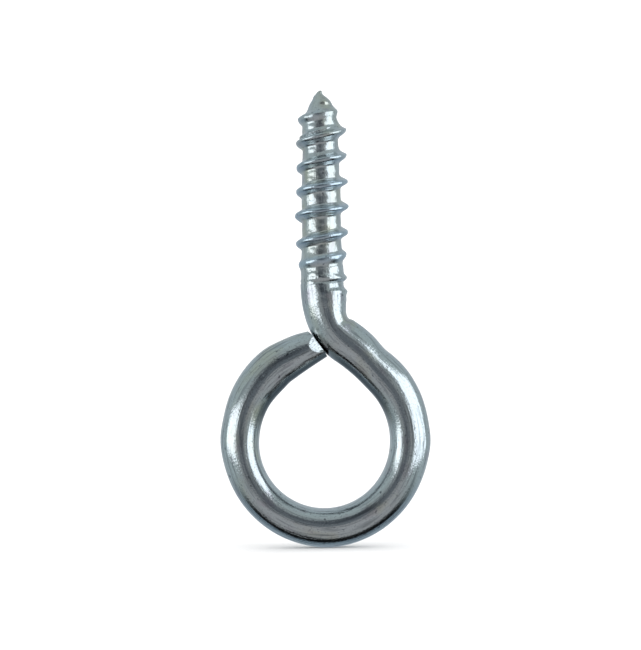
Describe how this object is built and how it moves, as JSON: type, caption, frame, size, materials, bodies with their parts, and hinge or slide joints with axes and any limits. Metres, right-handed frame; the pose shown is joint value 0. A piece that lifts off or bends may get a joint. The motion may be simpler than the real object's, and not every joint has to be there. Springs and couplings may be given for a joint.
{
  "type": "eye bolt",
  "caption": "One-piece bent-wire eye bolt for wood, a screw eye: a round eye under a straight shank with a rolled wood thread and a gimlet point.",
  "frame": {"origin": "on the shank's axis at the last thread, where the wood's surface comes", "axes": "+Z along the shank towards the gimlet point, with the eye below; the eye lies in the XZ plane, its sheared end on the -X side of the neck; -Y is the front"},
  "size_m": [0.0255, 0.0062, 0.0555],
  "materials": {
    "zinc_plated_steel": "bright zinc electroplate with a faint blue-grey tint, on cold-drawn steel wire with fine drawing lines"
  },
  "bodies": {
    "root": {"screw_eye": "zinc_plated_steel"}
  },
  "joints": []
}
